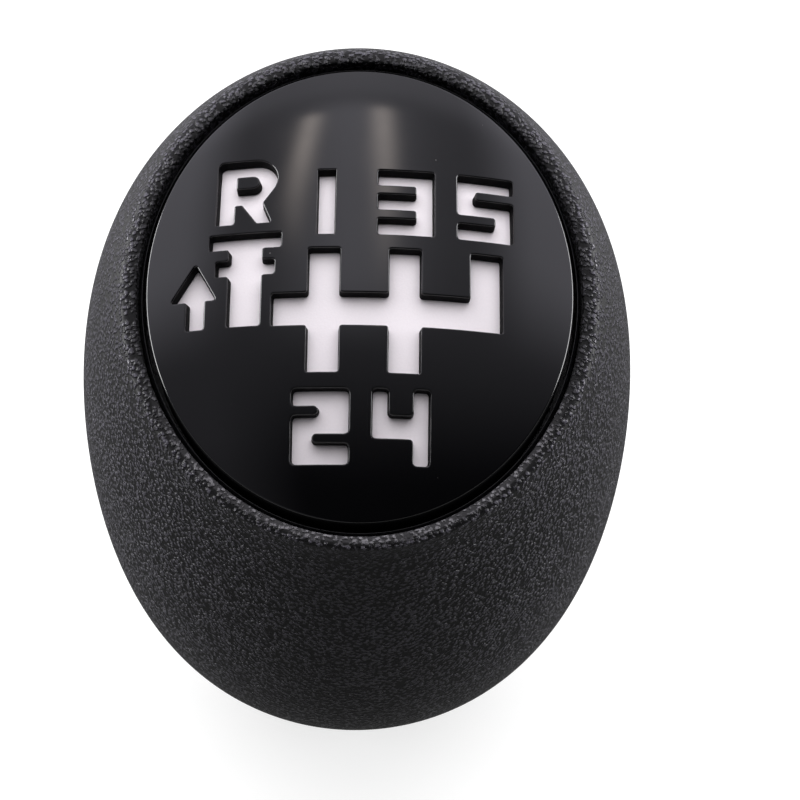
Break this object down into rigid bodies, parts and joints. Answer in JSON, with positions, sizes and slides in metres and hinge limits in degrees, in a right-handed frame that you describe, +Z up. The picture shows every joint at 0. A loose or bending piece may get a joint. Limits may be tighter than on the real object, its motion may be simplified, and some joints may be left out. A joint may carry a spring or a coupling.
{
  "type": "gear shift knob",
  "caption": "Egg-shaped grained grip with a tilted oval gloss black face, a white shift pattern in its windows, a push-on lever socket and a sprung lift collar for reverse.",
  "frame": {"origin": "on the lever's axis at the lower end of the lift collar, where the lever enters and the part stands", "axes": "+Z up along the gear lever, -Y towards the driver, where the face tilts down, +X to the right of the shift pattern"},
  "size_m": [0.052, 0.0555, 0.0768],
  "materials": {
    "grained_plastic": "fine grained soft-touch black",
    "gloss_black": "polished black",
    "legend_white": "fine matt white",
    "bezel_black": "satin black",
    "core_plastic": "as moulded dark grey",
    "bond_foam": "soft bonding foam",
    "insert_steel": "turned and zinc plated",
    "damper_rubber": "matt black rubber",
    "spring_steel": "oiled spring steel",
    "cap_plastic": "fine matt black",
    "screw_zinc": "zinc plated",
    "guide_aluminium": "drawn tube",
    "bush_acetal": "natural acetal",
    "collar_plastic": "fine matt black",
    "sleeve_steel": "ground and plated tube"
  },
  "bodies": {
    "knob": {"grip_cover": "grained_plastic", "knob_core": "core_plastic", "face_disc": "gloss_black", "legend_plate": "legend_white", "bezel_ring": "bezel_black", "adhesive_pad": "bond_foam", "lever_socket": "insert_steel", "damper_bush": "damper_rubber", "socket_clip": "spring_steel", "base_cap": "cap_plastic", "base_screws": "screw_zinc", "guide_tube": "guide_aluminium", "sleeve_bush": "bush_acetal", "stop_buffer": "damper_rubber", "spring_seat": "screw_zinc", "lift_spring": "spring_steel"},
    "collar": {"lift_sleeve": "sleeve_steel", "lift_ring": "collar_plastic", "stop_ring": "spring_steel"}
  },
  "joints": [
    {"name": "collar_lift", "type": "slide", "parent": "knob", "child": "collar", "axis": [0, 0, 1], "range_m": [0, 0.008], "stiffness_N_per_m": 600, "springref_m": -0.0115, "deforming": ["lift_spring"]}
  ]
}
